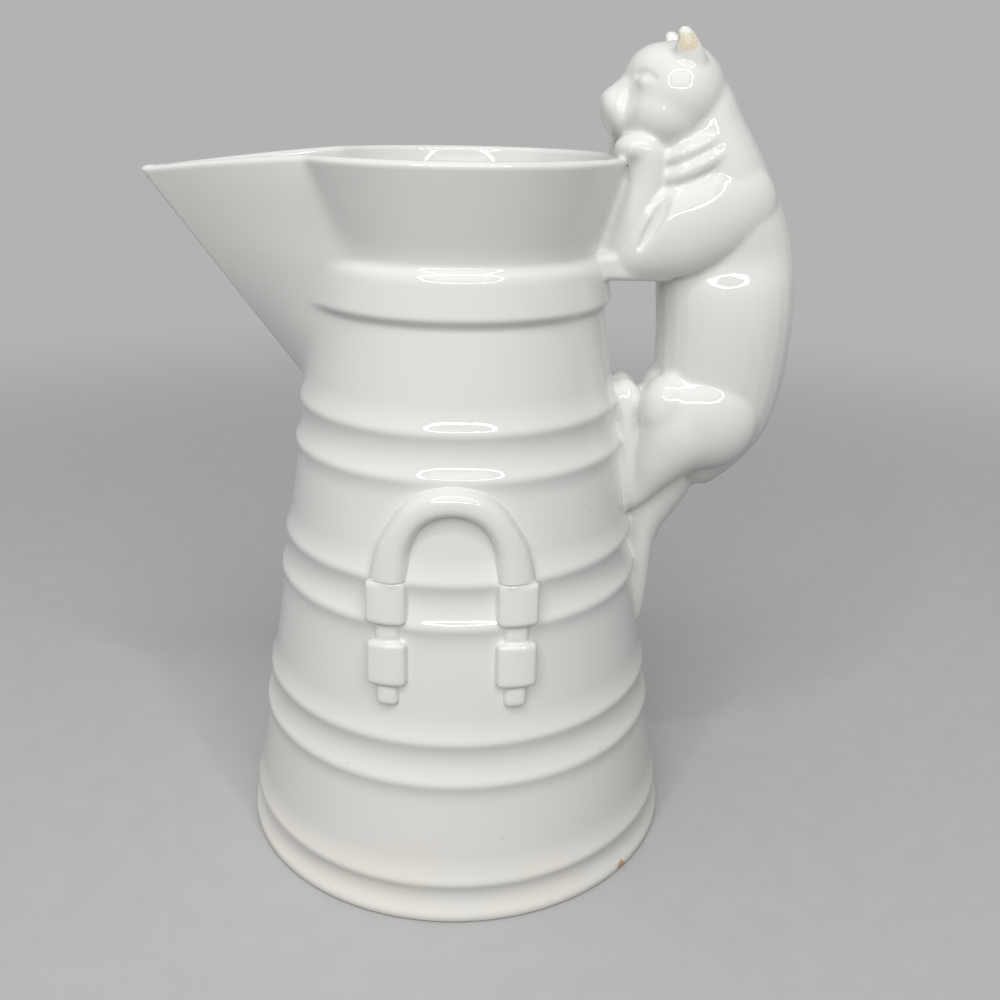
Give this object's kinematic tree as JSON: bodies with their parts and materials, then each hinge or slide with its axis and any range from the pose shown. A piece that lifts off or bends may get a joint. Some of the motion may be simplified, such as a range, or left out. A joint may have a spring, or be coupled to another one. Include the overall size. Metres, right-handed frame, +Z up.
{
  "type": "cat pitcher",
  "caption": "White glazed porcelain pitcher shaped like a hooped milk can, with a flared collar, a V spout and a climbing cat as its handle.",
  "frame": {"origin": "middle of the flat underside, on the jug's axis, on the table", "axes": "+Z up along the jug's axis, -X towards the spout's tip, +X towards the cat handle, left side is -Y"},
  "size_m": [0.1967, 0.1444, 0.254],
  "materials": {
    "glaze": "gloss"
  },
  "bodies": {
    "root": {"base_disc": "glaze", "barrel_wall": "glaze", "neck_band": "glaze", "collar": "glaze", "spout": "glaze", "cat_torso": "glaze", "cat_head": "glaze", "cat_ear_left": "glaze", "cat_ear_right": "glaze", "cat_shoulder_left": "glaze", "cat_shoulder_right": "glaze", "cat_foreleg_left": "glaze", "cat_foreleg_right": "glaze", "cat_thigh_left": "glaze", "cat_thigh_right": "glaze", "cat_hind_foot_left": "glaze", "cat_hind_foot_right": "glaze", "cat_tail": "glaze", "left_bail_arch": "glaze", "left_bail_sleeve_front": "glaze", "left_bail_link_front": "glaze", "left_bail_block_front": "glaze", "left_bail_tab_front": "glaze", "left_bail_sleeve_rear": "glaze", "left_bail_link_rear": "glaze", "left_bail_block_rear": "glaze", "left_bail_tab_rear": "glaze", "right_bail_arch": "glaze", "right_bail_sleeve_front": "glaze", "right_bail_link_front": "glaze", "right_bail_block_front": "glaze", "right_bail_tab_front": "glaze", "right_bail_sleeve_rear": "glaze", "right_bail_link_rear": "glaze", "right_bail_block_rear": "glaze", "right_bail_tab_rear": "glaze"}
  },
  "joints": []
}
